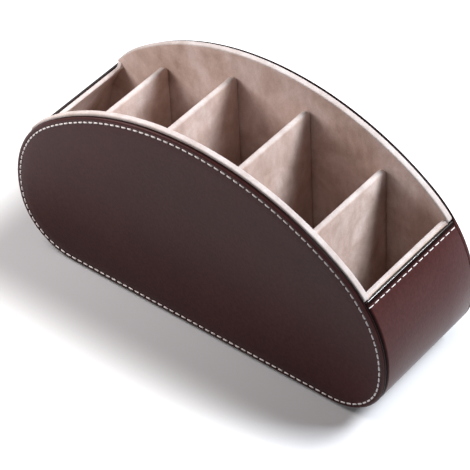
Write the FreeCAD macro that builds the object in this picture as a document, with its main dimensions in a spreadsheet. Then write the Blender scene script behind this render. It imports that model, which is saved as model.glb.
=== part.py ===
import FreeCAD, Part
import math
import os

import Sketcher
from FreeCAD import Placement, Rotation, Vector

# Half-moon desk organizer with five compartments: leather-covered front and rear panels joined by a
# wrapped strip, velvet-covered lining cards, four velvet dividers and a felt pad underneath.
# Millimetres. X runs along the width, the front face looks along -Y, Z is up from the table.

DIMENSIONS = {
    # outline of the front and rear panels
    "width": 250, "depth": 80, "panel_height": 130,
    "corner_radius": 35, "side_radius": 70, "side_centre": 40.8,
    # felt pad underneath
    "felt_thickness": 1, "felt_length": 172, "felt_width": 70, "felt_corner": 6,
    # leather-covered panels and strip
    "leather": 0.7, "panel_card": 1.7, "panel_bevel": 0.9, "panel_back_bevel": 0.5,
    "strip_card": 1.2, "strip_bevel": 1, "strip_top_bevel": 1.1, "shoulder": 81.5,
    # velvet-covered lining of the long walls
    "lining_card": 2.7, "lining_face": 1,
    "rim_rise": 0.9, "rim_bevel": 1.1, "rim_corner": 1.5, "rim_cover": 1.8,
    # velvet-covered lining of the ends and the floor
    "end_card": 1.4, "end_face": 1, "end_rim": 1.4, "end_round": 1,
    # dividers
    "divider_pitch": 48.8, "divider_shift": 2, "divider_drop": 13.3, "divider_gap": 1.2,
    "divider_thickness": 3.5, "divider_card": 1.5,
    "divider_corner": 4, "divider_bevel": 1, "divider_end": 2, "divider_top": 1.6,
    # contrast stitching
    "stitch_length": 2.9, "stitch_width": 0.8, "stitch_rise": 0.35,
    "stitch_pitch": 4.15, "stitch_margin": 3,
    "end_stitch_pitch": 4.4, "end_stitch_drop": 2.4, "end_stitch_inset": 2.2,
}
DIVIDERS = 4

doc = FreeCAD.newDocument("desk_organizer")
sheet = doc.addObject("Spreadsheet::Sheet", "Dims")
for row, (alias, value) in enumerate(DIMENSIONS.items(), 1):
    sheet.set(f"A{row}", alias)
    sheet.set(f"B{row}", str(value))
    sheet.setAlias(f"B{row}", alias)
doc.recompute()


def dim(alias):
    """Reads one driving dimension from the sheet."""
    return float(sheet.get(alias))


# Formulas on the sheet's cells that several pieces share.
SIDE_X = "(Dims.width / 2 - Dims.side_radius)"
SIDE_Z = "(Dims.felt_thickness + Dims.side_centre)"
CROWN_REACH = "(Dims.panel_height - Dims.side_centre)"
CROWN_RADIUS = (f"(({SIDE_X}^2 + {CROWN_REACH}^2 - Dims.side_radius^2)"
                f" / (2 * ({CROWN_REACH} - Dims.side_radius)))")
FLAT = (f"({SIDE_X} + sqrt((Dims.side_radius - Dims.corner_radius)^2"
        " - (Dims.side_centre - Dims.corner_radius)^2))")
PANEL = "(Dims.leather + Dims.panel_card)"
STRIP = "(Dims.leather + Dims.strip_card)"
LINING = "(Dims.lining_face + Dims.lining_card)"
END_LINING = "(Dims.end_face + Dims.end_card)"
PANEL_BACK = f"(Dims.depth / 2 - {PANEL})"
INSIDE = f"({PANEL_BACK} - {LINING})"
SHOULDER_Z = "(Dims.felt_thickness + Dims.shoulder)"
END_RIM_Z = f"({SHOULDER_Z} + Dims.rim_rise)"
FLOOR_Z = f"(Dims.felt_thickness + {STRIP} + {END_LINING})"


def value_of(formula):
    """Works a formula out through the sheet's own expression engine."""
    return float(sheet.evalExpression(formula))


side_x, side_z, flat = value_of(SIDE_X), value_of(SIDE_Z), value_of(FLAT)
base_z = dim("felt_thickness")
crown_radius = value_of(CROWN_RADIUS)
corner_z = base_z + dim("corner_radius")
crown_z = base_z + dim("panel_height") - crown_radius
corner_turn = math.degrees(math.atan2(corner_z - side_z, flat - side_x))
crown_turn = math.degrees(math.atan2(side_z - crown_z, side_x))


def arc(x, z, radius, start, end):
    """Arc about (x, z), from one angle to the next in degrees."""
    circle = Part.Circle(Vector(x, z, 0), Vector(0, 0, 1), radius)
    return Part.ArcOfCircle(circle, math.radians(start), math.radians(end))


def line(x1, z1, x2, z2):
    """Straight edge of a profile."""
    return Part.LineSegment(Vector(x1, z1, 0), Vector(x2, z2, 0))


def on_side_arc(radius, z):
    """Angle and x of a point at height z on a side arc of the right end."""
    angle = math.asin((z - side_z) / radius)
    return math.degrees(angle), side_x + radius * math.cos(angle)


def new_body(label):
    body = doc.addObject("PartDesign::Body", label)
    body.Label = label
    return body


def new_sketch(body, role, shift=None):
    """Sketch on one of the body's own origin planes, moved along the plane's normal."""
    plane = next(f for f in body.Origin.OriginFeatures if f.Role == role)
    sketch = body.newObject("Sketcher::SketchObject", body.Name + "_sketch")
    sketch.AttachmentSupport = [(plane, "")]
    sketch.MapMode = "FlatFace"
    if shift:
        sketch.setExpression("AttachmentOffset.Base.z", shift)
    return sketch


def bind(sketch, kind, *where, formula):
    """Adds a dimension whose size follows a formula on the sheet."""
    index = sketch.addConstraint(Sketcher.Constraint(kind, *where, value_of(formula)))
    name = f"size_{index}"
    sketch.renameConstraint(index, name)
    sketch.setExpression("Constraints." + name, formula)


def rule(sketch, kind, *where):
    sketch.addConstraint(Sketcher.Constraint(kind, *where))


START, END, CENTRE = 1, 2, 3
ORIGIN = (-1, 1)
UPRIGHT_AXIS = -2


def chain(sketch, pieces):
    """Joins (edge, runs backwards, joint to the next edge) into one closed profile."""
    ids = [sketch.addGeometry(edge, False) for edge, backwards, joint in pieces]
    for k, (edge, backwards, joint) in enumerate(pieces):
        follower = (k + 1) % len(pieces)
        leaves = START if backwards else END
        enters = END if pieces[follower][1] else START
        rule(sketch, joint, ids[k], leaves, ids[follower], enters)
    return ids


def level(sketch, edge, formula):
    """Keeps a straight edge horizontal at a height."""
    rule(sketch, "Horizontal", edge)
    bind(sketch, "DistanceY", *ORIGIN, edge, START, formula=formula)


def place_side(sketch, right, left=None):
    """Centres of the side arcs: the left one mirrors the right one."""
    bind(sketch, "DistanceX", *ORIGIN, right, CENTRE, formula=SIDE_X)
    bind(sketch, "DistanceY", *ORIGIN, right, CENTRE, formula=SIDE_Z)
    if left is not None:
        bind(sketch, "DistanceX", left, CENTRE, *ORIGIN, formula=SIDE_X)


def half_moon(sketch, offset):
    """The panels' outline, grown by an offset: flat base, corner, side and crown arcs."""
    o = value_of(offset)
    r_corner, r_side, r_crown = dim("corner_radius") + o, dim("side_radius") + o, crown_radius + o
    base, corner, side, crown, side_left, corner_left = chain(sketch, [
        (line(-flat, base_z - o, flat, base_z - o), False, "Tangent"),
        (arc(flat, corner_z, r_corner, -90, corner_turn), False, "Tangent"),
        (arc(side_x, side_z, r_side, corner_turn, crown_turn), False, "Tangent"),
        (arc(0, crown_z, r_crown, crown_turn, 180 - crown_turn), False, "Tangent"),
        (arc(-side_x, side_z, r_side, 180 - crown_turn, 180 - corner_turn), False, "Tangent"),
        (arc(-flat, corner_z, r_corner, 180 - corner_turn, 270), False, "Tangent")])
    rule(sketch, "Equal", corner, corner_left)
    rule(sketch, "Equal", side, side_left)
    rule(sketch, "PointOnObject", crown, CENTRE, UPRIGHT_AXIS)
    level(sketch, base, f"Dims.felt_thickness - ({offset})")
    bind(sketch, "Radius", corner, formula=f"Dims.corner_radius + ({offset})")
    bind(sketch, "Radius", side, formula=f"Dims.side_radius + ({offset})")
    bind(sketch, "Radius", crown, formula=f"{CROWN_RADIUS} + ({offset})")
    place_side(sketch, side, side_left)


def stepped_moon(sketch, low, high, step):
    """Half-moon that is narrow up to a step and stands out above it, as the rim of the lining does."""
    a, b, z = value_of(low), value_of(high), value_of(step)
    r_corner, r_low, r_high, r_crown = (dim("corner_radius") + a, dim("side_radius") + a,
                                        dim("side_radius") + b, crown_radius + b)
    t_low, x_low = on_side_arc(r_low, z)
    t_high, x_high = on_side_arc(r_high, z)
    (base, corner, low_r, step_r, high_r, crown,
     high_l, step_l, low_l, corner_l) = chain(sketch, [
        (line(-flat, base_z - a, flat, base_z - a), False, "Tangent"),
        (arc(flat, corner_z, r_corner, -90, corner_turn), False, "Tangent"),
        (arc(side_x, side_z, r_low, corner_turn, t_low), False, "Coincident"),
        (line(x_low, z, x_high, z), False, "Coincident"),
        (arc(side_x, side_z, r_high, t_high, crown_turn), False, "Tangent"),
        (arc(0, crown_z, r_crown, crown_turn, 180 - crown_turn), False, "Tangent"),
        (arc(-side_x, side_z, r_high, 180 - crown_turn, 180 - t_high), False, "Coincident"),
        (line(-x_high, z, -x_low, z), False, "Coincident"),
        (arc(-side_x, side_z, r_low, 180 - t_low, 180 - corner_turn), False, "Tangent"),
        (arc(-flat, corner_z, r_corner, 180 - corner_turn, 270), False, "Tangent")])
    for one, other in ((corner, corner_l), (low_r, low_l), (high_r, high_l)):
        rule(sketch, "Equal", one, other)
    rule(sketch, "PointOnObject", crown, CENTRE, UPRIGHT_AXIS)
    rule(sketch, "Coincident", low_r, CENTRE, high_r, CENTRE)
    level(sketch, base, f"Dims.felt_thickness - ({low})")
    level(sketch, step_r, step)
    level(sketch, step_l, step)
    bind(sketch, "Radius", corner, formula=f"Dims.corner_radius + ({low})")
    bind(sketch, "Radius", low_r, formula=f"Dims.side_radius + ({low})")
    bind(sketch, "Radius", high_r, formula=f"Dims.side_radius + ({high})")
    bind(sketch, "Radius", crown, formula=f"{CROWN_RADIUS} + ({high})")
    place_side(sketch, low_r, low_l)
    bind(sketch, "DistanceY", *ORIGIN, low_l, CENTRE, formula=SIDE_Z)
    bind(sketch, "DistanceX", high_l, CENTRE, *ORIGIN, formula=SIDE_X)


def strip_band(sketch, outer, inner, top):
    """Band between two offsets of the outline, from one shoulder round the base to the other."""
    a, b, z = value_of(outer), value_of(inner), value_of(top)
    c_out, c_in = dim("corner_radius") + a, dim("corner_radius") + b
    s_out, s_in = dim("side_radius") + a, dim("side_radius") + b
    t_out, x_out = on_side_arc(s_out, z)
    t_in, x_in = on_side_arc(s_in, z)
    (base, corner_r, side_r, top_r, in_side_r, in_corner_r,
     in_base, in_corner_l, in_side_l, top_l, side_l, corner_l) = chain(sketch, [
        (line(-flat, base_z - a, flat, base_z - a), False, "Tangent"),
        (arc(flat, corner_z, c_out, -90, corner_turn), False, "Tangent"),
        (arc(side_x, side_z, s_out, corner_turn, t_out), False, "Coincident"),
        (line(x_out, z, x_in, z), False, "Coincident"),
        (arc(side_x, side_z, s_in, corner_turn, t_in), True, "Tangent"),
        (arc(flat, corner_z, c_in, -90, corner_turn), True, "Tangent"),
        (line(flat, base_z - b, -flat, base_z - b), False, "Tangent"),
        (arc(-flat, corner_z, c_in, 180 - corner_turn, 270), True, "Tangent"),
        (arc(-side_x, side_z, s_in, 180 - t_in, 180 - corner_turn), True, "Coincident"),
        (line(-x_in, z, -x_out, z), False, "Coincident"),
        (arc(-side_x, side_z, s_out, 180 - t_out, 180 - corner_turn), False, "Tangent"),
        (arc(-flat, corner_z, c_out, 180 - corner_turn, 270), False, "Tangent")])
    for one, other in ((corner_r, corner_l), (side_r, side_l),
                       (in_corner_r, in_corner_l), (in_side_r, in_side_l)):
        rule(sketch, "Equal", one, other)
    rule(sketch, "Coincident", side_r, CENTRE, in_side_r, CENTRE)
    rule(sketch, "Coincident", side_l, CENTRE, in_side_l, CENTRE)
    level(sketch, base, f"Dims.felt_thickness - ({outer})")
    level(sketch, in_base, f"Dims.felt_thickness - ({inner})")
    level(sketch, top_r, top)
    level(sketch, top_l, top)
    for edge, size, offset in ((corner_r, "corner_radius", outer), (side_r, "side_radius", outer),
                               (in_corner_r, "corner_radius", inner), (in_side_r, "side_radius", inner)):
        bind(sketch, "Radius", edge, formula=f"Dims.{size} + ({offset})")
    place_side(sketch, side_r, side_l)
    bind(sketch, "DistanceY", *ORIGIN, side_l, CENTRE, formula=SIDE_Z)


def end_band(sketch, outer, inner, top):
    """Right-hand part of such a band, from the end of the flat base up to a height."""
    a, b, z = value_of(outer), value_of(inner), value_of(top)
    c_out, c_in = dim("corner_radius") + a, dim("corner_radius") + b
    s_out, s_in = dim("side_radius") + a, dim("side_radius") + b
    t_out, x_out = on_side_arc(s_out, z)
    t_in, x_in = on_side_arc(s_in, z)
    corner, side, rim, in_side, in_corner, foot = chain(sketch, [
        (arc(flat, corner_z, c_out, -90, corner_turn), False, "Tangent"),
        (arc(side_x, side_z, s_out, corner_turn, t_out), False, "Coincident"),
        (line(x_out, z, x_in, z), False, "Coincident"),
        (arc(side_x, side_z, s_in, corner_turn, t_in), True, "Tangent"),
        (arc(flat, corner_z, c_in, -90, corner_turn), True, "Coincident"),
        (line(flat, base_z - b, flat, base_z - a), False, "Coincident")])
    rule(sketch, "Coincident", side, CENTRE, in_side, CENTRE)
    rule(sketch, "Vertical", corner, CENTRE, in_corner, CENTRE)
    rule(sketch, "Vertical", corner, CENTRE, corner, START)
    rule(sketch, "Vertical", foot)
    level(sketch, rim, top)
    for edge, size, offset in ((corner, "corner_radius", outer), (side, "side_radius", outer),
                               (in_corner, "corner_radius", inner), (in_side, "side_radius", inner)):
        bind(sketch, "Radius", edge, formula=f"Dims.{size} + ({offset})")
    place_side(sketch, side)
    bind(sketch, "DistanceY", *ORIGIN, corner, CENTRE, formula="Dims.felt_thickness + Dims.corner_radius")


def rectangle(sketch, half_x, low, high):
    """Rectangle centred across the sketch, between two heights of the sketch."""
    x, a, b = value_of(half_x), value_of(low), value_of(high)
    bottom, right, top, left = chain(sketch, [
        (line(-x, a, x, a), False, "Coincident"), (line(x, a, x, b), False, "Coincident"),
        (line(x, b, -x, b), False, "Coincident"), (line(-x, b, -x, a), False, "Coincident")])
    rule(sketch, "Vertical", right)
    rule(sketch, "Vertical", left)
    for edge, formula in ((bottom, low), (top, high)):
        rule(sketch, "Horizontal", edge)
        if value_of(formula) < 0:
            bind(sketch, "DistanceY", edge, START, *ORIGIN, formula=f"-({formula})")
        else:
            bind(sketch, "DistanceY", *ORIGIN, edge, START, formula=formula)
    bind(sketch, "DistanceX", *ORIGIN, right, START, formula=half_x)
    bind(sketch, "DistanceX", left, START, *ORIGIN, formula=half_x)


def pad(body, sketch, length, both_ways=False):
    feature = body.newObject("PartDesign::Pad", body.Name + "_pad")
    feature.Profile = sketch
    feature.Midplane = both_ways
    feature.setExpression("Length", length)
    doc.recompute()


def pocket(body, sketch, length, both_ways=False, upwards=False):
    """Cuts a profile out of the body, and makes sure that it took something away."""
    before = body.Shape.Volume
    feature = body.newObject("PartDesign::Pocket", body.Name + "_pocket")
    feature.Profile = sketch
    feature.Midplane = both_ways
    feature.Reversed = upwards
    feature.setExpression("Length", length)
    doc.recompute()
    if not body.Shape.Volume < before:
        raise RuntimeError(body.Label + ": a pocket cuts nothing")


def picked_edges(body, wanted):
    """The edges of the body's last feature that a test picks."""
    return body.Tip, [f"Edge{k}" for k, edge in enumerate(body.Tip.Shape.Edges, 1) if wanted(edge)]


def round_edges(body, wanted, radius):
    picked = picked_edges(body, wanted)
    feature = body.newObject("PartDesign::Fillet", body.Name + "_round")
    feature.Base = picked
    feature.setExpression("Radius", radius)
    doc.recompute()


def bevel_edges(body, wanted, size):
    picked = picked_edges(body, wanted)
    feature = body.newObject("PartDesign::Chamfer", body.Name + "_bevel")
    feature.Base = picked
    feature.setExpression("Size", size)
    doc.recompute()


CLOSE = 1e-3


def lies_at(edge, axis, place):
    """Whether an edge lies in the plane at that place on an axis."""
    box = edge.BoundBox
    low, high = {"x": (box.XMin, box.XMax), "y": (box.YMin, box.YMax), "z": (box.ZMin, box.ZMax)}[axis]
    return abs(low - place) < CLOSE and abs(high - place) < CLOSE


def middle_of(edge):
    return edge.valueAt((edge.FirstParameter + edge.LastParameter) / 2)


def outside_by(point):
    """How far a point lies outside the panels' outline, seen from the front."""
    x, z = abs(point.x), point.z
    turn = math.degrees(math.atan2(z - side_z, x - side_x))
    if x <= flat and z < corner_z:
        return base_z - z
    if turn < corner_turn:
        return math.hypot(x - flat, z - corner_z) - dim("corner_radius")
    if turn < crown_turn:
        return math.hypot(x - side_x, z - side_z) - dim("side_radius")
    return math.hypot(x, z - crown_z) - crown_radius


def mirrored(source, label, normal):
    """The same piece on the other side of the organizer."""
    copy = doc.addObject("Part::Mirroring", label)
    copy.Label = label
    copy.Source = source
    copy.Base = Vector(0, 0, 0)
    copy.Normal = normal
    doc.recompute()
    return copy


LEFT_RIGHT, FRONT_REAR = Vector(1, 0, 0), Vector(0, 1, 0)


def make_panel():
    """Front panel: a card with leather drawn over its face and round its softened edge."""
    back = value_of(PANEL_BACK)
    front = dim("depth") / 2
    leather = new_body("front_leather")
    outline = new_sketch(leather, "XZ_Plane", PANEL_BACK)
    half_moon(outline, "0")
    pad(leather, outline, PANEL)
    bevel_edges(leather, lambda e: lies_at(e, "y", -front), "Dims.panel_bevel")
    bevel_edges(leather, lambda e: lies_at(e, "y", -back), "Dims.panel_back_bevel")
    seat = new_sketch(leather, "XZ_Plane", f"{PANEL_BACK} + Dims.panel_card")
    half_moon(seat, "-Dims.leather")
    pocket(leather, seat, "Dims.panel_card")
    card = new_body("front_board")
    shape = new_sketch(card, "XZ_Plane", PANEL_BACK)
    half_moon(shape, "-Dims.leather")
    pad(card, shape, "Dims.panel_card")
    return leather, card


def make_strip():
    """Leather strip that wraps the left end, the base and the right end, over three cards."""
    half = value_of(PANEL_BACK)
    top = value_of(SHOULDER_Z)
    leather = new_body("wrap_leather")
    profile = new_sketch(leather, "XZ_Plane")
    strip_band(profile, "0", f"-{STRIP}", SHOULDER_Z)
    pad(leather, profile, f"2 * {PANEL_BACK}", both_ways=True)

    def outer_long_edge(edge):
        at_face = lies_at(edge, "y", -half) or lies_at(edge, "y", half)
        return at_face and abs(outside_by(middle_of(edge))) < CLOSE

    def outer_top_edge(edge):
        return lies_at(edge, "z", top) and abs(outside_by(middle_of(edge))) < CLOSE

    bevel_edges(leather, outer_top_edge, "Dims.strip_top_bevel")
    bevel_edges(leather, outer_long_edge, "Dims.strip_bevel")
    seat = new_sketch(leather, "XZ_Plane")
    strip_band(seat, "-Dims.leather", f"-{STRIP}", f"{SHOULDER_Z} - Dims.leather")
    pocket(leather, seat, f"2 * ({PANEL_BACK} - Dims.leather)", both_ways=True)

    base = new_body("base_board")
    plate = new_sketch(base, "XZ_Plane")
    rectangle(plate, FLAT, "Dims.felt_thickness + Dims.leather", f"Dims.felt_thickness + {STRIP}")
    pad(base, plate, f"2 * ({PANEL_BACK} - Dims.leather)", both_ways=True)

    end = new_body("right_end_board")
    bend = new_sketch(end, "XZ_Plane")
    end_band(bend, "-Dims.leather", f"-{STRIP}", f"{SHOULDER_Z} - Dims.leather")
    pad(end, bend, f"2 * ({PANEL_BACK} - Dims.leather)", both_ways=True)
    return end


def make_wall_lining():
    """Lining of a long wall: velvet folded over the arched top of a card, its rim above the leather."""
    front, back = value_of(PANEL_BACK), value_of(INSIDE)
    step = value_of(SHOULDER_Z)
    velvet = new_body("front_lining")
    outline = new_sketch(velvet, "XZ_Plane", INSIDE)
    stepped_moon(outline, f"-{STRIP}", "Dims.rim_rise", SHOULDER_Z)
    pad(velvet, outline, LINING)
    reach = on_side_arc(dim("side_radius") + dim("rim_rise"), step)[1]

    def rim_corner(edge):
        return lies_at(edge, "z", step) and (lies_at(edge, "x", reach) or lies_at(edge, "x", -reach))

    def rim_edge(edge):
        at_face = lies_at(edge, "y", -front) or lies_at(edge, "y", -back)
        return at_face and edge.BoundBox.ZMin > step - CLOSE

    round_edges(velvet, rim_corner, "Dims.rim_corner")
    bevel_edges(velvet, rim_edge, "Dims.rim_bevel")
    fold = new_sketch(velvet, "XZ_Plane", PANEL_BACK)
    card_edge = (f"-{STRIP}", "Dims.rim_rise - Dims.rim_cover", f"{SHOULDER_Z} + Dims.rim_cover")
    stepped_moon(fold, *card_edge)
    pocket(velvet, fold, "Dims.lining_card")
    card = new_body("front_lining_card")
    shape = new_sketch(card, "XZ_Plane", f"{INSIDE} + Dims.lining_face")
    stepped_moon(shape, *card_edge)
    pad(card, shape, "Dims.lining_card")
    return velvet, card


def make_end_lining():
    """Lining of the right end: velvet folded over the top of a bent card, between the long walls."""
    top = value_of(END_RIM_Z)
    velvet = new_body("right_lining")
    bend = new_sketch(velvet, "XZ_Plane")
    end_band(bend, f"-{STRIP}", f"-({STRIP} + {END_LINING})", END_RIM_Z)
    pad(velvet, bend, f"2 * {INSIDE}", both_ways=True)

    def rim_edge(edge):
        return lies_at(edge, "z", top) and edge.BoundBox.YLength > value_of(INSIDE)

    round_edges(velvet, rim_edge, "Dims.end_round")
    fold = new_sketch(velvet, "XZ_Plane")
    outer, inner = f"-{STRIP}", f"-({STRIP} + Dims.end_card)"
    end_band(fold, outer, inner, f"{END_RIM_Z} - Dims.end_rim")
    pocket(velvet, fold, f"2 * {INSIDE}", both_ways=True)
    card = new_body("right_lining_card")
    shape = new_sketch(card, "XZ_Plane")
    end_band(shape, outer, inner, f"{END_RIM_Z} - Dims.end_rim")
    pad(card, shape, f"2 * {INSIDE}", both_ways=True)
    return velvet, card


def make_floor():
    """Floor of the compartments: a card on the base, covered with velvet."""
    card_top = f"{FLOOR_Z} - Dims.end_face"
    card = new_body("floor_card")
    plate = new_sketch(card, "XZ_Plane")
    rectangle(plate, FLAT, f"Dims.felt_thickness + {STRIP}", card_top)
    pad(card, plate, f"2 * {INSIDE}", both_ways=True)
    velvet = new_body("floor_lining")
    cover = new_sketch(velvet, "XZ_Plane")
    rectangle(cover, FLAT, card_top, FLOOR_Z)
    pad(velvet, cover, f"2 * {INSIDE}", both_ways=True)


def make_divider(number):
    """Divider, a little left of an even spacing: a card in a velvet sleeve, lower than the rim."""
    place = f"({number - (DIVIDERS + 1) / 2} * Dims.divider_pitch - Dims.divider_shift)"
    top = (f"(Dims.felt_thickness + Dims.panel_height - {CROWN_RADIUS}"
           f" + sqrt({CROWN_RADIUS}^2 - {place}^2) - Dims.divider_drop)")
    half_depth = f"({INSIDE} - Dims.divider_gap)"
    x, z, y = value_of(place), value_of(top), value_of(half_depth)
    half_thickness = dim("divider_thickness") / 2
    sleeve = new_body(f"divider_sleeve_{number}")
    face = new_sketch(sleeve, "YZ_Plane", f"{place} - Dims.divider_thickness / 2")
    rectangle(face, half_depth, FLOOR_Z, top)
    pad(sleeve, face, "Dims.divider_thickness")
    round_edges(sleeve, lambda e: lies_at(e, "z", z) and (lies_at(e, "y", y) or lies_at(e, "y", -y)),
                "Dims.divider_corner")

    def face_edge(edge):
        at_face = lies_at(edge, "x", x - half_thickness) or lies_at(edge, "x", x + half_thickness)
        return at_face and not lies_at(edge, "z", value_of(FLOOR_Z))

    bevel_edges(sleeve, face_edge, "Dims.divider_bevel")
    card_half, card_top = f"({half_depth} - Dims.divider_end)", f"({top} - Dims.divider_top)"
    slot = new_sketch(sleeve, "YZ_Plane", f"{place} + Dims.divider_card / 2")
    rectangle(slot, card_half, FLOOR_Z, card_top)
    pocket(sleeve, slot, "Dims.divider_card")
    card = new_body(f"divider_card_{number}")
    shape = new_sketch(card, "YZ_Plane", f"{place} - Dims.divider_card / 2")
    rectangle(shape, card_half, FLOOR_Z, card_top)
    pad(card, shape, "Dims.divider_card")


def make_felt():
    """Felt pad under the flat base, which the organizer stands on."""
    felt = new_body("base_felt")
    plan = new_sketch(felt, "XY_Plane")
    rectangle(plan, "Dims.felt_length / 2", "-Dims.felt_width / 2", "Dims.felt_width / 2")
    pad(felt, plan, "Dims.felt_thickness")
    round_edges(felt, lambda e: e.BoundBox.ZLength > dim("felt_thickness") / 2, "Dims.felt_corner")


def one_stitch():
    """One stitch: a short bar that rises from the leather and dives back into it."""
    half, width, rise = dim("stitch_length") / 2, dim("stitch_width"), dim("stitch_rise")
    side = [(-half, 0), (half, 0), (0, rise), (-half, 0)]
    outline = Part.makePolygon([Vector(x, -width / 2, z) for x, z in side])
    return Part.Face(outline).extrude(Vector(0, width, 0))


def sew(label, seats):
    """A row of separate stitches, each at a place, along a direction and out of a surface."""
    pattern = one_stitch()
    stitches = []
    for place, along, out in seats:
        turn = Rotation(along, out.cross(along), out, "XZY")
        stitch = pattern.copy()
        stitch.Placement = Placement(place, turn)
        stitches.append(stitch)
    row = doc.addObject("Part::Feature", label)
    row.Label = label
    row.Shape = Part.makeCompound(stitches)
    return row


def seam_seats():
    """Evenly spaced seats round the front panel, a margin inside its outline."""
    m = dim("stitch_margin")
    r_corner, r_side, r_crown = dim("corner_radius") - m, dim("side_radius") - m, crown_radius - m
    edges = [line(-flat, base_z + m, flat, base_z + m), arc(flat, corner_z, r_corner, -90, corner_turn),
             arc(side_x, side_z, r_side, corner_turn, crown_turn),
             arc(0, crown_z, r_crown, crown_turn, 180 - crown_turn),
             arc(-side_x, side_z, r_side, 180 - crown_turn, 180 - corner_turn),
             arc(-flat, corner_z, r_corner, 180 - corner_turn, 270)]
    lengths = [edge.length() for edge in edges]
    count = round(sum(lengths) / dim("stitch_pitch"))
    for k in range(count):
        along = (k + 0.5) * sum(lengths) / count
        edge = 0
        while along > lengths[edge]:
            along -= lengths[edge]
            edge += 1
        where = edges[edge].parameterAtDistance(along, edges[edge].FirstParameter)
        point = edges[edge].value(where)
        tangent = edges[edge].tangent(where)[0]
        seat = Vector(point.x, -dim("depth") / 2, point.y)
        yield seat, Vector(tangent.x, 0, tangent.y), Vector(0, -1, 0)


def end_seats():
    """Seats in a row across the right end, just below the strip's upper edge."""
    radius = dim("side_radius")
    top_angle = on_side_arc(radius, value_of(SHOULDER_Z))[0]
    angle = math.radians(top_angle) - dim("end_stitch_drop") / radius
    out = Vector(math.cos(angle), 0, math.sin(angle))
    run = 2 * (value_of(PANEL_BACK) - dim("end_stitch_inset"))
    count = round(run / dim("end_stitch_pitch"))
    for k in range(count):
        y = ((k + 0.5) / count - 0.5) * run
        seat = Vector(side_x + radius * out.x, y, side_z + radius * out.z)
        yield seat, Vector(0, 1, 0), out


front_pieces = [*make_panel(), *make_wall_lining(), sew("front_stitching", seam_seats())]
for piece in front_pieces:
    mirrored(piece, piece.Label.replace("front", "rear"), FRONT_REAR)
for piece in [make_strip(), *make_end_lining(), sew("right_stitching", end_seats())]:
    mirrored(piece, piece.Label.replace("right", "left"), LEFT_RIGHT)
make_floor()
for number in range(1, DIVIDERS + 1):
    make_divider(number)
make_felt()
doc.recompute()

for item in doc.Objects:
    if "Invalid" in item.State or "Error" in item.State:
        raise RuntimeError(f"{item.Label} failed: {item.State}")
nodes = [item for item in doc.Objects
         if item.TypeId in ("PartDesign::Body", "Part::Mirroring") or item.Label.endswith("_stitching")]
for node in nodes:
    if node.Shape.isNull() or not node.Shape.isValid() or not node.Shape.Solids:
        raise RuntimeError(f"{node.Label} has no sound solid")
os.makedirs("parts", exist_ok=True)
for node in nodes:
    node.Shape.exportStep(f"parts/{node.Label}.step")
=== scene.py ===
import math

import bmesh
import bpy
from mathutils import Matrix, Vector


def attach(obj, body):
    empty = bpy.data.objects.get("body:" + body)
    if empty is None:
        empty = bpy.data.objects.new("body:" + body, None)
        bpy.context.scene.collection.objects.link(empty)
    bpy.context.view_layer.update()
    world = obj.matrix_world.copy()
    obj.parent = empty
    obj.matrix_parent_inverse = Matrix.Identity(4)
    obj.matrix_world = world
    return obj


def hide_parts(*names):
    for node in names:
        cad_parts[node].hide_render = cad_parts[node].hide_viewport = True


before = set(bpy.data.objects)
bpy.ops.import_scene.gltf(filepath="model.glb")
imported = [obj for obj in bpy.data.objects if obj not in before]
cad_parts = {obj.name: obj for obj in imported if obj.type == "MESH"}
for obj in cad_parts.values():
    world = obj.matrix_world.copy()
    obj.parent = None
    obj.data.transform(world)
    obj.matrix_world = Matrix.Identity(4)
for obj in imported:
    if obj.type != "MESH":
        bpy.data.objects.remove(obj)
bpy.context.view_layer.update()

# Half-moon desk organizer: leather panels and wrapped strip, velvet lining with four dividers, felt pad.
# Sizes are in millimetres and become metres through MM. The front looks along -Y.
MM = 0.001
X, Y, Z = 0, 1, 2
TINY, MERGE = 1e-6, 1e-5
REAR, LEFT = (1, -1, 1), (-1, 1, 1)

# Depths from the middle: the panels' faces, their backs and the lining's faces
FRONT, PANEL_BACK, INSIDE = 40.0, 37.6, 33.9
BASE_Z, FLOOR_Z = 1.0, 5.3
LEATHER = 0.7

# The half-moon outline: flat base, lower corners, sides and crown, each arc tangent to the next
CORNER_R, SIDE_R = 35.0, 70.0
SIDE_X, SIDE_Z, CORNER_Z = 55.0, 41.8, 36.0
PANEL_TOP = 131.0
FLAT = SIDE_X + math.sqrt((SIDE_R - CORNER_R) ** 2 - (SIDE_Z - CORNER_Z) ** 2)
CROWN_REACH = PANEL_TOP - SIDE_Z
CROWN_R = (SIDE_X ** 2 + CROWN_REACH ** 2 - SIDE_R ** 2) / (2 * (CROWN_REACH - SIDE_R))
CROWN_Z = PANEL_TOP - CROWN_R
CORNER_TURN = math.degrees(math.atan2(CORNER_Z - SIDE_Z, FLAT - SIDE_X))
CROWN_TURN = math.degrees(math.atan2(SIDE_Z - CROWN_Z, SIDE_X))

# Heights of the strip's upper ends and of the end linings' rims
SHOULDER_Z, END_RIM_Z = 82.5, 83.0
# How wide the strip's front edge is rolled, and how deep it falls there
ROLL, FALL = 3.0, 1.3
DIVIDERS = 4


# Drawing and sweeping

def take(piece):
    """Makes a piece the active one, and the only one selected."""
    bpy.ops.object.select_all(action="DESELECT")
    bpy.context.view_layer.objects.active = piece
    piece.select_set(True)


def edit(piece):
    """Opens a piece for editing."""
    take(piece)
    bpy.ops.object.mode_set(mode="EDIT")


def give_name(piece, name):
    """Names a piece and its mesh."""
    piece.name = name
    piece.data.name = name


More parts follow.
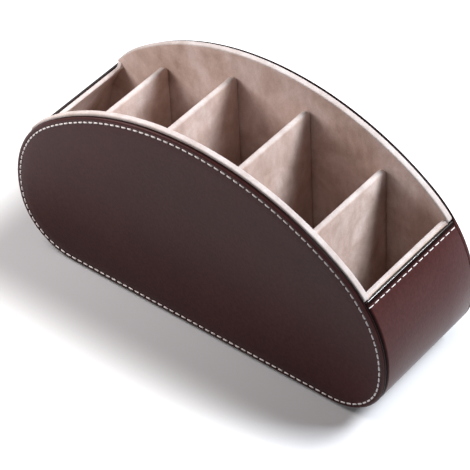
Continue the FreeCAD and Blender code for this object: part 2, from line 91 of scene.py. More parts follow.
def start_piece(name, x, y, z):
    """A new piece that starts as one point, ready to be drawn from."""
    bpy.ops.object.select_all(action="DESELECT")
    bpy.ops.mesh.primitive_plane_add(size=MM)
    piece = bpy.context.object
    give_name(piece, name)
    bpy.ops.object.mode_set(mode="EDIT")
    bpy.ops.mesh.select_mode(type="VERT")
    bpy.ops.mesh.select_all(action="SELECT")
    bpy.ops.mesh.merge(type="CENTER")
    bpy.ops.transform.translate(value=(x * MM, y * MM, z * MM))
    return piece


def draw_to(points):
    """Draws on from the first point through the others."""
    for (x0, y0, z0), (x1, y1, z1) in zip(points, points[1:]):
        step = ((x1 - x0) * MM, (y1 - y0) * MM, (z1 - z0) * MM)
        bpy.ops.mesh.extrude_vertices_move(TRANSFORM_OT_translate={"value": step})


def draw_section(name, section):
    """Draws a section of (inset, y) points at the middle of the base, and selects all of it."""
    points = [(0, y, BASE_Z + inset) for inset, y in section]
    piece = start_piece(name, *points[0])
    draw_to(points)
    bpy.ops.mesh.select_all(action="SELECT")
    return piece


def quarter(inset, y, radius, first, last, steps):
    """Points of a rounded edge in a section, about (inset, y)."""
    angles = [math.radians(first + (last - first) * k / steps) for k in range(steps + 1)]
    return [(inset - radius * math.sin(a), y - radius * math.cos(a)) for a in angles]


def push(x, y, z):
    """Extrudes what is selected."""
    bpy.ops.mesh.extrude_region_move(TRANSFORM_OT_translate={"value": (x * MM, y * MM, z * MM)})


def turn(x, z, degrees, steps):
    """Carries what is selected round a centre line along Y, anticlockwise as seen from the front."""
    bpy.ops.mesh.spin(steps=steps, angle=math.radians(degrees), center=(x * MM, 0, z * MM), axis=(0, 1, 0))


def shift_out(degrees, distance):
    """Moves what is selected out along the side arc's radius at an angle."""
    angle = math.radians(degrees)
    bpy.ops.transform.translate(value=(distance * math.cos(angle) * MM, 0, distance * math.sin(angle) * MM))


def round_corner():
    """Carries the section along the flat base and round the lower corner."""
    push(FLAT, 0, 0)
    turn(FLAT, CORNER_Z, CORNER_TURN + 90, steps=16)


def pick(piece, kind, test):
    """Selects the vertices, edges or faces that a test picks by their place."""
    bpy.ops.mesh.select_mode(type={"verts": "VERT", "edges": "EDGE", "faces": "FACE"}[kind])
    bpy.ops.mesh.select_all(action="DESELECT")
    mesh = bmesh.from_edit_mesh(piece.data)
    for element in getattr(mesh, kind):
        if test(element):
            element.select_set(True)
    mesh.select_flush_mode()
    bmesh.update_edit_mesh(piece.data)


def all_at(element, axis, spot):
    """Whether every point of an edge or face lies at one spot on an axis."""
    return all(abs(v.co[axis] - spot * MM) < TINY for v in element.verts)


def middle_of(face, axis):
    """Where a face's middle lies on an axis, in millimetres."""
    return face.calc_center_median()[axis] / MM


def close_ring(piece, y):
    """Fills the open ring that lies at a depth."""
    pick(piece, "edges", lambda e: e.is_boundary and all_at(e, Y, y))
    bpy.ops.mesh.edge_face_add()


def outward(piece):
    """Merges doubled points and turns the faces outwards."""
    bpy.ops.mesh.select_mode(type="VERT")
    bpy.ops.mesh.select_all(action="SELECT")
    bpy.ops.mesh.remove_doubles(threshold=MERGE)
    bpy.ops.mesh.normals_make_consistent(inside=False)


def apply_modifier(piece, kind, **settings):
    """Adds a modifier in object mode and applies it."""
    bpy.ops.object.mode_set(mode="OBJECT")
    take(piece)
    modifier = piece.modifiers.new(kind.lower(), kind)
    for name, value in settings.items():
        setattr(modifier, name, value)
    bpy.ops.object.modifier_apply(modifier=modifier.name)


def thicken(piece, thickness):
    """Gives a sheet its thickness, on its inner side."""
    apply_modifier(piece, "SOLIDIFY", thickness=thickness * MM, offset=-1.0)


def mirror_half(piece):
    """Adds the other half of a piece across the middle of the width."""
    outward(piece)
    apply_modifier(piece, "MIRROR", use_axis=(True, False, False), use_clip=True, merge_threshold=MERGE)
    edit(piece)


def smooth(piece, degrees=32):
    """Shades a piece smooth, apart from edges sharper than an angle."""
    bpy.ops.object.mode_set(mode="OBJECT")
    take(piece)
    bpy.ops.object.shade_smooth_by_angle(angle=math.radians(degrees))


def mirrored_copy(piece, name, scale):
    """The same piece on the other side of the organizer, with its own mesh."""
    take(piece)
    bpy.ops.object.duplicate(linked=False)
    copy = bpy.context.object
    give_name(copy, name)
    bpy.ops.object.mode_set(mode="EDIT")
    bpy.ops.mesh.select_all(action="SELECT")
    bpy.ops.transform.resize(value=scale, center_override=(0, 0, 0))
    bpy.ops.mesh.flip_normals()
    bpy.ops.object.mode_set(mode="OBJECT")
    return copy


def slab(name, low, high):
    """A block between two corners, open for editing."""
    bpy.ops.object.select_all(action="DESELECT")
    bpy.ops.mesh.primitive_cube_add(size=1)
    piece = bpy.context.object
    give_name(piece, name)
    bpy.ops.object.mode_set(mode="EDIT")
    bpy.ops.mesh.select_all(action="SELECT")
    bpy.ops.transform.resize(value=[(b - a) * MM for a, b in zip(low, high)], center_override=(0, 0, 0))
    bpy.ops.transform.translate(value=[(a + b) / 2 * MM for a, b in zip(low, high)])
    return piece


def bevel(radius, segments):
    """Rounds the edges that are selected."""
    bpy.ops.mesh.bevel(offset=radius * MM, segments=segments)


def place(piece, nodes, finish):
    """Puts a finished piece on the organizer in place of its CAD nodes."""
    piece.data.materials.clear()
    piece.data.materials.append(finish)
    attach(piece, "root")
    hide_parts(*nodes)


def dress(piece, finish, test):
    """Gives the faces that a test picks another finish."""
    piece.data.materials.append(finish)
    edit(piece)
    pick(piece, "faces", test)
    piece.active_material_index = len(piece.data.materials) - 1
    bpy.ops.object.material_slot_assign()
    bpy.ops.object.mode_set(mode="OBJECT")


# Finishes

class Finish:
    """A material with helpers for adding and joining its nodes."""

    def __init__(self, name):
        self.material = bpy.data.materials.new(name)
        self.material.use_nodes = True
        self.tree = self.material.node_tree
        self.shader = self.tree.nodes["Principled BSDF"]
        self.coords = self.add("ShaderNodeTexCoord").outputs["Object"]

    def add(self, kind, **settings):
        """A new node with its settings."""
        node = self.tree.nodes.new(kind)
        for name, value in settings.items():
            setattr(node, name, value)
        return node

    def join(self, source, target):
        """Links an output to an input."""
        self.tree.links.new(source, target)

    def feed(self, name, source):
        """Links an output to one of the shader's inputs."""
        self.join(source, self.shader.inputs[name])

    def set(self, **values):
        """Sets plain values on the shader."""
        for name, value in values.items():
            self.shader.inputs[name.replace("_", " ")].default_value = value

    def noise(self, scale, detail, roughness, stretch=None, distortion=0.0):
        """A cloudy pattern, stretched along the axes where it is asked for."""
        node = self.add("ShaderNodeTexNoise")
        node.inputs["Scale"].default_value = scale
        node.inputs["Detail"].default_value = detail
        node.inputs["Roughness"].default_value = roughness
        node.inputs["Distortion"].default_value = distortion
        where = self.coords
        if stretch:
            mapping = self.add("ShaderNodeMapping")
            mapping.inputs["Scale"].default_value = stretch
            self.join(self.coords, mapping.inputs["Vector"])
            where = mapping.outputs["Vector"]
        self.join(where, node.inputs["Vector"])
        return node.outputs["Fac"]

    def ramp(self, value, stops):
        """Colours along a value, from (position, colour) stops."""
        node = self.add("ShaderNodeValToRGB")
        while len(node.color_ramp.elements) < len(stops):
            node.color_ramp.elements.new(0.5)
        for element, (position, colour) in zip(node.color_ramp.elements, stops):
            element.position = position
            element.color = (*colour, 1)
        self.join(value, node.inputs["Fac"])
        return node.outputs["Color"]

    def blend(self, factor, one, other):
        """Goes from one colour to another by a factor."""
        node = self.add("ShaderNodeMix", data_type="RGBA", blend_type="MIX")
        self.join(factor, node.inputs["Factor"])
        self.join(one, node.inputs["A"])
        self.join(other, node.inputs["B"])
        return node.outputs["Result"]

    def multiply(self, one, other):
        """Darkens one colour by another."""
        node = self.add("ShaderNodeMix", data_type="RGBA", blend_type="MULTIPLY")
        node.inputs["Factor"].default_value = 1.0
        self.join(one, node.inputs["A"])
        self.join(other, node.inputs["B"])
        return node.outputs["Result"]

    def spread(self, value, low, high):
        """Stretches a value over a range."""
        node = self.add("ShaderNodeMapRange")
        node.inputs["To Min"].default_value = low
        node.inputs["To Max"].default_value = high
        self.join(value, node.inputs["Value"])
        return node.outputs["Result"]

    def along(self, axis, start, end):
        """Goes from 0 to 1 between two spots along an axis, in millimetres."""
        split = self.add("ShaderNodeSeparateXYZ")
        self.join(self.coords, split.inputs["Vector"])
        rise = self.add("ShaderNodeMapRange", interpolation_type="SMOOTHSTEP")
        rise.inputs["From Min"].default_value = start * MM
        rise.inputs["From Max"].default_value = end * MM
        self.join(split.outputs[axis], rise.inputs["Value"])
        return rise.outputs["Result"]

    def fold(self, values, operation):
        """Joins some values into one by an operation."""
        total = values[0]
        for value in values[1:]:
            node = self.add("ShaderNodeMath", operation=operation)
            self.join(total, node.inputs[0])
            self.join(value, node.inputs[1])
            total = node.outputs["Value"]
        return total

    def relief(self, heights):
        """Stacks (height, strength, distance) bumps, coarse ones first."""
        normal = None
        for height, strength, distance in heights:
            bump = self.add("ShaderNodeBump")
            bump.inputs["Strength"].default_value = strength
            bump.inputs["Distance"].default_value = distance
            self.join(height, bump.inputs["Height"])
            if normal:
                self.join(normal, bump.inputs["Normal"])
            normal = bump.outputs["Normal"]
        self.feed("Normal", normal)


PLAIN = (1.0, 1.0, 1.0)


def leather_finish(name, shade_spans, shine=0.105, polish=1.0):
    """Smooth semi-gloss leather: fine pebbles, slow changes of tone and polish, painted shade on its edges
    and grooves.
    """
    smoothest, roughest, pebbles = 0.27 * polish, 0.39 * polish, 950
    f = Finish(name)
    cloud = f.noise(scale=14, detail=3, roughness=0.5)
    fleck = f.noise(scale=520, detail=2, roughness=0.5)
    tone = f.ramp(cloud, [(0.3, (0.050, 0.0142, 0.0136)), (0.7, (0.068, 0.0204, 0.0198))])
    dark = f.ramp(fleck, [(0.35, (0.80, 0.78, 0.78)), (0.65, PLAIN)])
    # Near-black painted shade for the edges and grooves that lie in shade
    shade_colour = f.ramp(fleck, [(0.3, (0.0080, 0.0030, 0.0028)), (0.7, (0.0120, 0.0050, 0.0046))])
    shade_zones = [f.fold([f.along(*span) for span in spans], "MULTIPLY") for spans in shade_spans]
    f.feed("Base Color", f.blend(f.fold(shade_zones, "MAXIMUM"), f.multiply(tone, dark), shade_colour))
    f.feed("Roughness", f.spread(f.noise(scale=60, detail=4, roughness=0.6), smoothest, roughest))
    pebble = f.add("ShaderNodeTexVoronoi", feature="SMOOTH_F1")
    pebble.inputs["Scale"].default_value = pebbles
    f.join(f.coords, pebble.inputs["Vector"])
    swelling = f.noise(scale=38, detail=2, roughness=0.5)
    f.relief([(swelling, 0.10, 0.002), (pebble.outputs["Distance"], 0.10, 0.0004)])
    f.set(Specular_IOR_Level=shine)
    return f.material


def velvet_finish(name, low, middle, high):
    """Short-pile velvet of three tones: nap brushed in patches, fine fibres, soft sheen."""
    f = Finish(name)
    nap = f.noise(scale=42, detail=5, roughness=0.62, distortion=0.6)
    scuff = f.noise(scale=130, detail=4, roughness=0.65, stretch=(1.0, 1.0, 0.45))
    fibre = f.noise(scale=1900, detail=2, roughness=0.6)
    tone = f.ramp(nap, [(0.32, low), (0.52, middle), (0.70, high)])
    brushed = f.ramp(scuff, [(0.36, (0.84, 0.81, 0.79)), (0.62, PLAIN)])
    speck = f.ramp(fibre, [(0.30, (0.86, 0.85, 0.84)), (0.70, PLAIN)])
    f.feed("Base Color", f.multiply(f.multiply(tone, brushed), speck))
    f.relief([(scuff, 0.18, 0.0008), (fibre, 0.35, 0.0003)])
    f.set(Roughness=0.95, Specular_IOR_Level=0.03, Sheen_Weight=0.03, Sheen_Roughness=0.5,
          Sheen_Tint=(1.0, 0.97, 0.96, 1))
    return f.material


def thread_finish():
    """Cream sewing thread with a twist and a dull shine."""
    f = Finish("cream_thread")
    ply = f.noise(scale=1500, detail=2, roughness=0.5, stretch=(1.0, 2.5, 1.0))
    f.feed("Base Color", f.ramp(ply, [(0.3, (0.76, 0.71, 0.69)), (0.7, (0.95, 0.92, 0.91))]))
    f.relief([(ply, 0.4, 0.0002)])
    f.set(Roughness=0.6, Sheen_Weight=0.15)
    return f.material


def felt_finish():
    """Dark brown felt, matt, with matted fibres."""
    f = Finish("dark_felt")
    matted = f.noise(scale=700, detail=5, roughness=0.7)
    f.feed("Base Color", f.ramp(matted, [(0.3, (0.012, 0.008, 0.007)), (0.7, (0.035, 0.024, 0.021))]))
    f.relief([(matted, 0.5, 0.0006)])
    f.set(Roughness=0.98, Sheen_Weight=0.25)
    return f.material


def card_finish():
    """Greyboard with flecks of pulp."""
    f = Finish("greyboard")
    pulp = f.noise(scale=420, detail=5, roughness=0.7)
    f.feed("Base Color", f.ramp(pulp, [(0.35, (0.22, 0.18, 0.13)), (0.65, (0.33, 0.28, 0.21))]))
    f.relief([(pulp, 0.2, 0.0003)])
    f.set(Roughness=0.9)
    return f.material


# Painted shade: the panels' edges under the rims, the strip's rolled front edge and the groove below its lip
# are dark
# Spans along the axes, from where the painted shade begins to where it is full
FRONT_PAINTED_SHADE = [[("Y", -39.3, -38.8)]]
REAR_PAINTED_SHADE = [[("Y", 39.9, 39.5), ("Z", 80, 84)]]
STRIP_PAINTED_SHADE = [[("Y", -35.0, -36.6)], [("Z", 80.0, 81.2)]]
DULL = 0.02
FRONT_LEATHER = leather_finish("front_panel_leather", FRONT_PAINTED_SHADE)
FRONT_EDGE = leather_finish("front_panel_edge", FRONT_PAINTED_SHADE, shine=DULL)
REAR_LEATHER = leather_finish("rear_panel_leather", REAR_PAINTED_SHADE)
REAR_EDGE = leather_finish("rear_panel_edge", REAR_PAINTED_SHADE, shine=DULL)
STRIP_LEATHER = leather_finish("strip_leather", STRIP_PAINTED_SHADE)
STRIP_EDGE = leather_finish("strip_edge", STRIP_PAINTED_SHADE, shine=DULL)
STRIP_LIP = leather_finish("strip_lip", STRIP_PAINTED_SHADE, shine=0.8, polish=0.6)
VELVET = velvet_finish("beige_velvet", (0.56, 0.43, 0.375), (0.70, 0.57, 0.525), (0.81, 0.705, 0.675))
# Paler, greyer velvet for the rims and divider tops: painted light, for the strong light on these upward
# folds
PAINTED_LIGHT_RIM_VELVET = velvet_finish("rim_velvet_painted_light", (0.60, 0.53, 0.51), (0.68, 0.625, 0.615), (0.71, 0.67, 0.665))
THREAD, FELT, CARD = thread_finish(), felt_finish(), card_finish()


# Leather panels

def panel(name, side, edge):
    """Front (-1) or rear (1) panel: leather drawn round its card, with a sunken seam and the card's seat."""
    back_edge, middle, card_face = 0.6, 9.0, FRONT - LEATHER
    # (distance from the outline, depth) across the sunken seam
    groove = [(4.0, 0), (3.5, 0.10), (3.0, 0.17), (2.5, 0.10), (2.0, 0)]
    section = [(middle, -FRONT)] + [(inset, deep - FRONT) for inset, deep in groove]
    section += quarter(edge, edge - FRONT, edge, 0, 90, steps=6)
    section += quarter(back_edge, -PANEL_BACK - back_edge, back_edge, 90, 180, steps=4)
    section += [(LEATHER, -PANEL_BACK), (LEATHER, -card_face), (middle, -card_face)]
    piece = draw_section(name, [(inset, -side * y) for inset, y in section])
    round_corner()
    turn(SIDE_X, SIDE_Z, CROWN_TURN - CORNER_TURN, steps=18)
    turn(0, CROWN_Z, 90 - CROWN_TURN, steps=22)
    mirror_half(piece)
    close_ring(piece, side * FRONT)
    close_ring(piece, side * card_face)
    outward(piece)
    smooth(piece)
    return piece


front_cover = panel("front_leather_cover", side=-1, edge=1.5)
rear_cover = panel("rear_leather_cover", side=1, edge=0.8)
place(front_cover, ["front_leather"], FRONT_LEATHER)
place(rear_cover, ["rear_leather"], REAR_LEATHER)
FRONT_EDGE_Y, REAR_EDGE_Y, REAR_EDGE_Z = -39.1, 39.8, 82.0
dress(front_cover, FRONT_EDGE, lambda f: middle_of(f, Y) > FRONT_EDGE_Y)
dress(rear_cover, REAR_EDGE, lambda f: middle_of(f, Y) < REAR_EDGE_Y and middle_of(f, Z) > REAR_EDGE_Z)


# Wrapped strip

def wrapped_strip():
    """One leather strip round the ends and the base, rolled in along its edges and over its upper ends."""
    rear_roll, depth, rows = 0.4, 1.9, (-18, 0, 18)
    front_roll = quarter(ROLL, ROLL - PANEL_BACK, ROLL, 0, 90, steps=6)
    section = [(depth, -PANEL_BACK)]
    section += [(inset * FALL / ROLL, y) for inset, y in front_roll]
    section += [(0, y) for y in rows]
    section += quarter(rear_roll, PANEL_BACK - rear_roll, rear_roll, 90, 180, steps=3)
    section += [(depth, PANEL_BACK)]
    piece = draw_section("wrap_leather_strip", section)
    round_corner()
    top = math.degrees(math.asin((SHOULDER_Z - SIDE_Z) / SIDE_R))
    per_mm = math.degrees(1 / SIDE_R)
    # (distance below the upper end, depth of the surface) past the seam, the valley above it and the lip
    contour = [(4.2, 0), (3.7, 0.10), (3.2, 0.17), (2.7, 0.10), (2.2, 0.12), (1.8, 0.20), (1.4, 0.20),
               (0.8, 0.06), (0.3, 0.03), (0, 0.10), (-0.2, 0.28), (-0.38, 0.60), (-0.48, 1.0), (-0.52, 1.4),
               (-0.45, depth)]
    turn(SIDE_X, SIDE_Z, top - contour[0][0] * per_mm - CORNER_TURN, steps=16)
    for (below, deep), (next_below, next_deep) in zip(contour, contour[1:]):
        turn(SIDE_X, SIDE_Z, (below - next_below) * per_mm, steps=1)
        shift_out(top - next_below * per_mm, deep - next_deep)
    mirror_half(piece)
    outward(piece)
    thicken(piece, LEATHER)
    smooth(piece, degrees=40)
    return piece


strip = wrapped_strip()
place(strip, ["wrap_leather"], STRIP_LEATHER)
STRIP_EDGE_Y, STRIP_EDGE_Z, LIP_Z = -35.7, 80.5, 82.3
dress(strip, STRIP_EDGE, lambda f: middle_of(f, Y) < STRIP_EDGE_Y or middle_of(f, Z) > STRIP_EDGE_Z)
dress(strip, STRIP_LIP, lambda f: middle_of(f, Z) > LIP_Z)


# Velvet lining

def wall_lining():
    """Front lining: a velvet face that folds over the arched rim, with a rounded end at each shoulder."""
    rise, sunk, edge, sheet, middle, face_row, cavity = 1.1, 1.9, 0.85, 1.0, 9.0, 3.0, 1.0
    early, end_round, end_steps = 0.5, 1.8, 5
    hidden, top = rise + sunk, -rise
    section = [(middle, -INSIDE), (face_row, -INSIDE)]
    section += quarter(top + edge, -INSIDE - edge, edge, 180, 90, steps=6)
    section += quarter(top + edge, -PANEL_BACK + edge, edge, 90, 0, steps=6)
    section += [(cavity, -PANEL_BACK), (cavity, -INSIDE - sheet), (middle, -INSIDE - sheet)]
    section = [(inset + hidden, y) for inset, y in section]
    piece = draw_section("front_velvet_lining", section)
    round_corner()
    reached = math.degrees(math.asin((SHOULDER_Z - early - SIDE_Z) / (SIDE_R - hidden + rise)))
    turn(SIDE_X, SIDE_Z, reached - CORNER_TURN, steps=14)
    for k in range(1, end_steps + 1):
        before, now = (math.radians(90 * n / end_steps) for n in (k - 1, k))
        along = math.degrees(end_round * (math.cos(before) - math.cos(now)) / SIDE_R)
        turn(SIDE_X, SIDE_Z, along, steps=1)
        reached += along
        shift_out(reached, hidden * (math.sin(now) - math.sin(before)))
    turn(SIDE_X, SIDE_Z, CROWN_TURN - reached, steps=8)
    turn(0, CROWN_Z, 90 - CROWN_TURN, steps=22)
    mirror_half(piece)
    close_ring(piece, -INSIDE)
    close_ring(piece, -INSIDE - sheet)
    outward(piece)
    smooth(piece)
    return piece


front_velvet = wall_lining()
rear_velvet = mirrored_copy(front_velvet, "rear_velvet_lining", REAR)
place(front_velvet, ["front_lining"], VELVET)
place(rear_velvet, ["rear_lining"], VELVET)
# The rims' faces take the paler velvet: painted light
dress(front_velvet, PAINTED_LIGHT_RIM_VELVET, lambda f: not all_at(f, Y, -INSIDE))
dress(rear_velvet, PAINTED_LIGHT_RIM_VELVET, lambda f: not all_at(f, Y, INSIDE))


def end_lining():
    """Right end lining: velvet up the curved end, over its rounded rim and a little way down behind."""
    face, thick, edge, sheet, hem, overlap, flare = 4.3, 2.4, 0.7, 0.9, 9.0, 0.6, 0.9
    width, inner = INSIDE + overlap, SIDE_R - face
    angle = math.asin((END_RIM_Z - edge - SIDE_Z) / (inner + edge))
    across = (thick - 2 * edge) / math.cos(angle)
    rim_x, rim_z = SIDE_X + (inner + edge) * math.cos(angle), END_RIM_Z - edge
    lean = math.degrees(angle)
    piece = start_piece("right_velvet_lining", FLAT, -width, CORNER_Z - CORNER_R + face)
    turn(FLAT, CORNER_Z, CORNER_TURN + 90, steps=14)
    turn(SIDE_X, SIDE_Z, lean - CORNER_TURN, steps=14)
    turn(rim_x, rim_z, -90 - lean, steps=8)
    push(across, 0, 0)
    turn(rim_x + across, rim_z, lean - 90, steps=4)
    turn(SIDE_X, SIDE_Z, -math.degrees(hem / SIDE_R), steps=3)
    bpy.ops.mesh.select_all(action="SELECT")
    # (distance from the rim's end, swell) where the rim widens and climbs into the walls' rims
    swell = [(0, 1.5), (0.7, 1.4), (1.5, 0.95), (2.4, 0.5), (3.6, 0.15), (5.0, 0)]
    rows = [(-width + run, lift) for run, lift in swell]
    rows += [(width - run, lift) for run, lift in reversed(swell)]
    for (y, _), (next_y, _) in zip(rows, rows[1:]):
        push(0, next_y - y, 0)
    for y, lift in rows:
        pick(piece, "verts", lambda v: abs(v.co.y - y * MM) < TINY and v.co.z > rim_z * MM)
        bpy.ops.transform.translate(value=(flare * lift * MM, 0, lift * MM))
    outward(piece)
    thicken(piece, sheet)
    smooth(piece, degrees=40)
    return piece


right_velvet = end_lining()
left_velvet = mirrored_copy(right_velvet, "left_velvet_lining", LEFT)
place(right_velvet, ["right_lining"], VELVET)
place(left_velvet, ["left_lining"], VELVET)
END_RIM_BAND = 0.6
# The end rims' top band takes the paler velvet: painted light
for velvet in (right_velvet, left_velvet):
    dress(velvet, PAINTED_LIGHT_RIM_VELVET, lambda f: middle_of(f, Z) > END_RIM_Z - END_RIM_BAND)


def floor_lining():
    """Velvet on the floor of the compartments, with softened upper edges."""
    thick, edge = 1, 0.5
    piece = slab("floor_velvet", (-FLAT, -INSIDE, FLOOR_Z - thick), (FLAT, INSIDE, FLOOR_Z))
    pick(piece, "edges", lambda e: all_at(e, Z, FLOOR_Z))
    bevel(edge, segments=3)
    smooth(piece)
    return piece


place(floor_lining(), ["floor_lining"], VELVET)


def divider(number):
    """Velvet sleeve over a card: rounded along its top and ends, open below for the card."""
    pitch, shift, drop, half, gap = 48.8, 2.0, 13.3, 1.75, 0.1
    corner, edge, sheet, cap, rim_band = 3.8, 1.4, 0.95, 1.6, 0.7
    reach = INSIDE - gap
    x = (number - (DIVIDERS + 1) / 2) * pitch - shift
    top = CROWN_Z + math.sqrt(CROWN_R ** 2 - x ** 2) - drop

    def at_end(line):
        """Whether an edge lies at the front or the rear end."""
        return all_at(line, Y, -reach) or all_at(line, Y, reach)

    def on_side(line):
        """Whether an edge lies on the left or the right face."""
        return all_at(line, X, x - half) or all_at(line, X, x + half)

    piece = slab(f"divider_velvet_{number}", (x - half, -reach, FLOOR_Z), (x + half, reach, top))
    pick(piece, "edges", lambda e: all_at(e, Z, top) and at_end(e))
    bevel(corner, segments=6)
    pick(piece, "edges", lambda e: on_side(e) and not all_at(e, Z, FLOOR_Z))
    bevel(edge, segments=5)
    pick(piece, "faces", lambda f: all_at(f, Z, FLOOR_Z))
    bpy.ops.mesh.inset(thickness=sheet * MM)
    push(0, 0, top - FLOOR_Z - cap)
    smooth(piece)
    place(piece, [f"divider_sleeve_{number}"], VELVET)
    # The divider's top band takes the paler velvet: painted light
    dress(piece, PAINTED_LIGHT_RIM_VELVET, lambda f: middle_of(f, Z) > top - rim_band)


for number in range(1, DIVIDERS + 1):
    divider(number)


# Felt pad

def felt_pad():
    """Felt under the base, cut with rounded corners."""
    length, width, corner, thick, lower_edge = 172.0, 70.0, 6.0, 1.0, 0.2
    piece = slab("base_felt_pad", (-length / 2, -width / 2, 0), (length / 2, width / 2, thick))
    pick(piece, "edges", lambda e: abs(e.verts[0].co.z - e.verts[1].co.z) > thick / 2 * MM)
    bevel(corner, segments=8)
    pick(piece, "edges", lambda e: all_at(e, Z, 0))
    bevel(lower_edge, segments=2)
    smooth(piece)
    return piece


place(felt_pad(), ["base_felt"], FELT)


# Stitching

def one_stitch(radius, straight):
    """One stitch along X: a flattened thread whose ends dive into the leather."""
    sides, flattened = 8, 0.85
    # (run, fall, narrowing) of the steps at each end
    ends = ((0.35, 0.10, 0.88), (0.25, 0.22, 0.62))
    bpy.ops.object.select_all(action="DESELECT")
    bpy.ops.mesh.primitive_cylinder_add(vertices=sides, radius=radius * MM, depth=straight * MM,
                                        rotation=(0, math.pi / 2, 0))
    piece = bpy.context.object
    bpy.ops.object.transform_apply(location=False, rotation=True, scale=False)
    bpy.ops.object.mode_set(mode="EDIT")
    for side in (-1, 1):
        reach = side * straight / 2
        for run, fall, narrowing in ends:
            pick(piece, "faces", lambda f: all_at(f, X, reach))
            push(side * run, 0, -fall)
            bpy.ops.transform.resize(value=(1, narrowing, narrowing))
            reach += side * run
    bpy.ops.mesh.select_all(action="SELECT")
    bpy.ops.transform.resize(value=(1, 1, flattened), center_override=(0, 0, 0))
    bpy.ops.object.mode_set(mode="OBJECT")
    return piece


def sew(name, seats, radius, straight):
    """A row of stitches, each a copy at a point, along a direction and out of the leather."""
    pattern = one_stitch(radius, straight)
    copies = []
    for point, along, out in seats:
        copy = pattern.copy()
        copy.data = pattern.data.copy()
        bpy.context.collection.objects.link(copy)
        across = out.cross(along)
        copy.matrix_world = Matrix((along, across, out)).transposed().to_4x4()
        copy.matrix_world.translation = point * MM
        copies.append(copy)
    bpy.ops.object.select_all(action="DESELECT")
    for copy in copies:
        copy.select_set(True)
    bpy.context.view_layer.objects.active = copies[0]
    bpy.data.objects.remove(pattern)
    bpy.ops.object.transform_apply(location=True, rotation=True, scale=True)
    bpy.ops.object.join()
    row = bpy.context.object
    give_name(row, name)
    smooth(row, degrees=60)
    return row


def seam_seats():
    """Evenly spaced seats round the front panel, in its sunken seam."""
    margin, pitch, sunk = 3.0, 4.15, 0.07
    # (centre x, centre z, radius, first angle, last angle) of the seam's arcs, anticlockwise from the base
    arcs = [(FLAT, CORNER_Z, CORNER_R - margin, -90, CORNER_TURN),
            (SIDE_X, SIDE_Z, SIDE_R - margin, CORNER_TURN, CROWN_TURN),
            (0, CROWN_Z, CROWN_R - margin, CROWN_TURN, 180 - CROWN_TURN),
            (-SIDE_X, SIDE_Z, SIDE_R - margin, 180 - CROWN_TURN, 180 - CORNER_TURN),
            (-FLAT, CORNER_Z, CORNER_R - margin, 180 - CORNER_TURN, 270)]
    lengths = [2 * FLAT] + [math.radians(last - first) * radius for _, _, radius, first, last in arcs]
    count = round(sum(lengths) / pitch)
    for k in range(count):
        along = (k + 0.5) * sum(lengths) / count
        run = 0
        while along > lengths[run]:
            along -= lengths[run]
            run += 1
        if run == 0:
            point = Vector((along - FLAT, sunk - FRONT, BASE_Z + margin))
            way = Vector((1, 0, 0))
        else:
            x, z, radius, first, _ = arcs[run - 1]
            angle = math.radians(first) + along / radius
            point = Vector((x + radius * math.cos(angle), sunk - FRONT, z + radius * math.sin(angle)))
            way = Vector((-math.sin(angle), 0, math.cos(angle)))
        yield point, way, Vector((0, -1, 0))


def end_seats():
    """Seats across the right end, in the seam below the strip's upper end."""
    drop, inset, pitch, sunk = 3.2, 0.2, 4.6, 0.02
    angle = math.asin((SHOULDER_Z - SIDE_Z) / SIDE_R) - drop / SIDE_R
    out = Vector((math.cos(angle), 0, math.sin(angle)))
    run = 2 * (PANEL_BACK - inset)
    count = round(run / pitch)
    for k in range(count):
        y = ((k + 0.5) / count - 0.5) * run
        rolled = max(0, ROLL - PANEL_BACK - y) / ROLL
        inward = FALL * (1 - math.sqrt(1 - rolled ** 2))
        along = (Vector((0, 1, 0)) + rolled * out).normalized()
        point = Vector((SIDE_X, y, SIDE_Z)) + (SIDE_R - sunk - inward) * out
        yield point, along, along.cross(out).cross(along)


front_seam = sew("front_seam_stitches", seam_seats(), radius=0.47, straight=1.9)
rear_seam = mirrored_copy(front_seam, "rear_seam_stitches", REAR)
right_seam = sew("right_end_stitches", end_seats(), radius=0.27, straight=2.3)
left_seam = mirrored_copy(right_seam, "left_end_stitches", LEFT)
for seam, node in ((front_seam, "front_stitching"), (rear_seam, "rear_stitching"),
                   (right_seam, "right_stitching"), (left_seam, "left_stitching")):
    place(seam, [node], THREAD)


# Cards inside

for name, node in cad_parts.items():
    if name.endswith("board") or "card" in name:
        node.data.materials.clear()
        node.data.materials.append(CARD)


# Floor, light and camera

def seen_directly(tree):
    """1 where the camera looks straight at a surface, or sees it mirrored or through glass, else 0."""
    path = tree.nodes.new("ShaderNodeLightPath")
    total = path.outputs["Is Camera Ray"]
    for kind in ("Is Glossy Ray", "Is Transmission Ray"):
        larger = tree.nodes.new("ShaderNodeMath")
        larger.operation = "MAXIMUM"
        tree.links.new(total, larger.inputs[0])
        tree.links.new(path.outputs[kind], larger.inputs[1])
        total = larger.outputs["Value"]
    return total


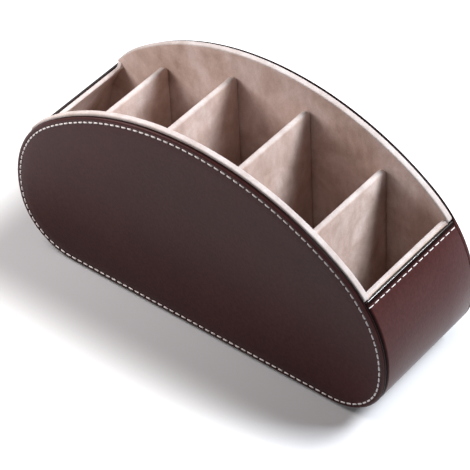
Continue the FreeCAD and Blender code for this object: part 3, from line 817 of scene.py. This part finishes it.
def studio_floor():
    """Pale floor that keeps the shadow under the organizer and turns white away from it; its glow stays low
    in a patch round the base, painted shade that the leather also mirrors.
    """
    # In metres: the painted shade's patch, its middle and half size, set to the front-left where the shadow
    # falls, and how far from it the white begins and is full
    middle, half, near, far = (-0.014, -0.012, 0), (0.111, 0.044, 0), 0.004, 0.052
    shaded_glow, white_glow, span = 0.06, 0.85, 8
    bpy.ops.object.select_all(action="DESELECT")
    bpy.ops.mesh.primitive_plane_add(size=span)
    ground = bpy.context.object
    ground.name = "studio_floor"
    f = Finish("pale_floor")
    tones = [(0.3, (0.565, 0.583, 0.61)), (0.7, (0.585, 0.603, 0.63))]
    f.feed("Base Color", f.ramp(f.noise(scale=3, detail=2, roughness=0.5), tones))
    f.set(Roughness=0.8, Specular_IOR_Level=0.1, Emission_Color=(1, 1, 1, 1))
    reach = f.coords
    for operation, other in (("SUBTRACT", middle), ("ABSOLUTE", None), ("SUBTRACT", half),
                             ("MAXIMUM", (0, 0, 0)), ("LENGTH", None)):
        node = f.add("ShaderNodeVectorMath", operation=operation)
        f.join(reach, node.inputs[0])
        if other:
            node.inputs[1].default_value = other
        reach = node.outputs["Value" if operation == "LENGTH" else "Vector"]
    white = f.add("ShaderNodeMapRange", interpolation_type="SMOOTHSTEP")
    limits = (("From Min", near), ("From Max", far), ("To Min", shaded_glow), ("To Max", white_glow))
    for name, value in limits:
        white.inputs[name].default_value = value
    f.join(reach, white.inputs["Value"])
    f.feed("Emission Strength", f.fold([white.outputs["Result"], seen_directly(f.tree)], "MULTIPLY"))
    ground.data.materials.append(f.material)


def surround():
    """White surround that adds only a little light of its own."""
    dim, white = (0.032, 0.024, 0.021, 1), (1, 1, 1, 1)
    world = bpy.data.worlds.new("white_surround")
    bpy.context.scene.world = world
    world.use_nodes = True
    tree = world.node_tree
    shade = tree.nodes.new("ShaderNodeValToRGB")
    for stop, colour in zip(shade.color_ramp.elements, (dim, white)):
        stop.color = colour
    tree.links.new(seen_directly(tree), shade.inputs["Fac"])
    tree.links.new(shade.outputs["Color"], tree.nodes["Background"].inputs["Color"])


def softbox(name, spot, size, watts, colour):
    """A square soft lamp at a spot, in metres, that looks at the organizer's upper half."""
    aim = Vector((0, 0, 0.08))
    bpy.ops.object.light_add(type="AREA", location=spot)
    light = bpy.context.object
    light.name = name
    light.data.shape = "RECTANGLE"
    light.data.size = size
    light.data.size_y = size
    light.data.energy = watts
    light.data.color = colour
    light.rotation_euler = (aim - Vector(spot)).to_track_quat("-Z", "Y").to_euler()


def camera():
    """Camera at the photograph's angle, with its slight roll."""
    azimuth, elevation, roll = (math.radians(d) for d in (40.895, 42.975, -3.244))
    distance, target, focal = 1350.89, Vector((-3.387, 0, 37.564)), 2511.66
    frame_px, sensor, clip_end = 470, 36.0, 50
    back = Vector((math.sin(azimuth) * math.cos(elevation), -math.cos(azimuth) * math.cos(elevation),
                   math.sin(elevation)))
    right = Vector((0, 0, 1)).cross(back).normalized()
    up = back.cross(right)
    right, up = (math.cos(roll) * right + math.sin(roll) * up, math.cos(roll) * up - math.sin(roll) * right)
    bpy.ops.object.camera_add()
    eye = bpy.context.object
    eye.data.sensor_width = sensor
    eye.data.lens = focal / frame_px * sensor
    eye.data.clip_end = clip_end
    eye.matrix_world = Matrix((right, up, back)).transposed().to_4x4()
    eye.matrix_world.translation = (target + back * distance) * MM
    bpy.context.scene.camera = eye


studio_floor()
surround()
softbox("key_softbox", (0.76, 0.60, 1.10), size=0.5, watts=32, colour=(0.975, 1.0, 1.035))
softbox("fill_softbox", (-0.25, -0.13, 0.30), size=0.2, watts=1.15, colour=(1.0, 0.92, 0.89))
camera()
bpy.context.scene.view_settings.view_transform = "Standard"
